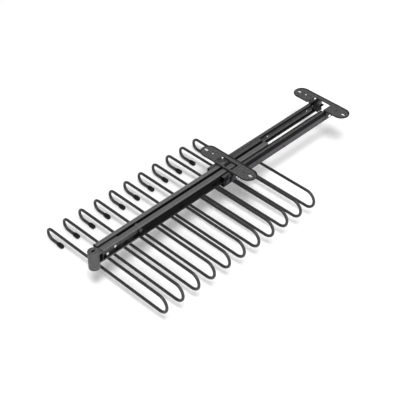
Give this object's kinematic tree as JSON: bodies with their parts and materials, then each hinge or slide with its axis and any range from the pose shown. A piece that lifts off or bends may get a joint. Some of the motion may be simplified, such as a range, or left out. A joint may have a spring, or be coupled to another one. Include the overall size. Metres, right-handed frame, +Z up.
{
  "type": "pull out trouser rack",
  "caption": "Pull-out trouser rack: bent wire arms on a carriage that runs on twin ball slides under two flat screw plates, with a round grip at the front.",
  "frame": {"origin": "on the front plate's top face, on the bar across its window, level with its screw holes; the plates are screwed up against a shelf", "axes": "+X across the rails towards the closed loops of the arms, -Y towards the handle along the slide, +Z up"},
  "size_m": [0.3556, 0.7145, 0.1068],
  "materials": {
    "black_wire": "satin black coat",
    "plate_steel": "satin dark grey coat",
    "fixed_rail_steel": "satin black coat",
    "slide_steel": "satin grey coat",
    "zinc": "bright zinc plate",
    "tip_rubber": "matt black rubber",
    "stop_rubber": "matt black rubber",
    "handle_plastic": "fine grained grey plastic",
    "cage_plastic": "dark plastic"
  },
  "bodies": {
    "mounting_frame": {"front_plate": "plate_steel", "rear_plate": "plate_steel", "fixed_rail_left": "fixed_rail_steel", "fixed_rail_right": "fixed_rail_steel", "front_rivet_left": "zinc", "front_rivet_right": "zinc", "rear_rivet_left": "zinc", "rear_rivet_right": "zinc", "rear_stop_left": "stop_rubber", "rear_stop_right": "stop_rubber"},
    "carriage": {"moving_rail_left": "slide_steel", "moving_rail_right": "slide_steel", "carrier_spine": "slide_steel", "arm_01": "black_wire", "arm_02": "black_wire", "arm_03": "black_wire", "arm_04": "black_wire", "arm_05": "black_wire", "arm_06": "black_wire", "arm_07": "black_wire", "arm_08": "black_wire", "arm_09": "black_wire", "arm_10": "black_wire", "arm_11": "black_wire", "arm_tip_01": "tip_rubber", "arm_tip_02": "tip_rubber", "arm_tip_03": "tip_rubber", "arm_tip_04": "tip_rubber", "arm_tip_05": "tip_rubber", "arm_tip_06": "tip_rubber", "arm_tip_07": "tip_rubber", "arm_tip_08": "tip_rubber", "arm_tip_09": "tip_rubber", "arm_tip_10": "tip_rubber", "arm_tip_11": "tip_rubber", "handle": "handle_plastic", "handle_screw_front": "zinc", "handle_screw_rear": "zinc"},
    "middle_left": {"middle_member_left": "slide_steel"},
    "middle_right": {"middle_member_right": "slide_steel"},
    "outer_balls_left": {"outer_cage_left": "cage_plastic"},
    "outer_balls_right": {"outer_cage_right": "cage_plastic"},
    "inner_balls_left": {"inner_cage_left": "cage_plastic"},
    "inner_balls_right": {"inner_cage_right": "cage_plastic"}
  },
  "joints": [
    {"name": "carriage_slide", "type": "slide", "parent": "mounting_frame", "child": "carriage", "axis": [0, -1, 0], "range_m": [-0.184, 0.12]},
    {"name": "middle_left_slide", "type": "slide", "parent": "mounting_frame", "child": "middle_left", "axis": [0, -1, 0], "range_m": [-0.092, 0.06]},
    {"name": "middle_right_slide", "type": "slide", "parent": "mounting_frame", "child": "middle_right", "axis": [0, -1, 0], "range_m": [-0.092, 0.06]},
    {"name": "outer_balls_left_slide", "type": "slide", "parent": "mounting_frame", "child": "outer_balls_left", "axis": [0, -1, 0], "range_m": [-0.046, 0.03]},
    {"name": "outer_balls_right_slide", "type": "slide", "parent": "mounting_frame", "child": "outer_balls_right", "axis": [0, -1, 0], "range_m": [-0.046, 0.03]},
    {"name": "inner_balls_left_slide", "type": "slide", "parent": "mounting_frame", "child": "inner_balls_left", "axis": [0, -1, 0], "range_m": [-0.138, 0.09]},
    {"name": "inner_balls_right_slide", "type": "slide", "parent": "mounting_frame", "child": "inner_balls_right", "axis": [0, -1, 0], "range_m": [-0.138, 0.09]}
  ],
  "couplings": [
    {"joint": "middle_left_slide", "follows": "carriage_slide", "ratio": 0.5},
    {"joint": "middle_right_slide", "follows": "carriage_slide", "ratio": 0.5},
    {"joint": "outer_balls_left_slide", "follows": "carriage_slide", "ratio": 0.25},
    {"joint": "outer_balls_right_slide", "follows": "carriage_slide", "ratio": 0.25},
    {"joint": "inner_balls_left_slide", "follows": "carriage_slide", "ratio": 0.75},
    {"joint": "inner_balls_right_slide", "follows": "carriage_slide", "ratio": 0.75}
  ]
}
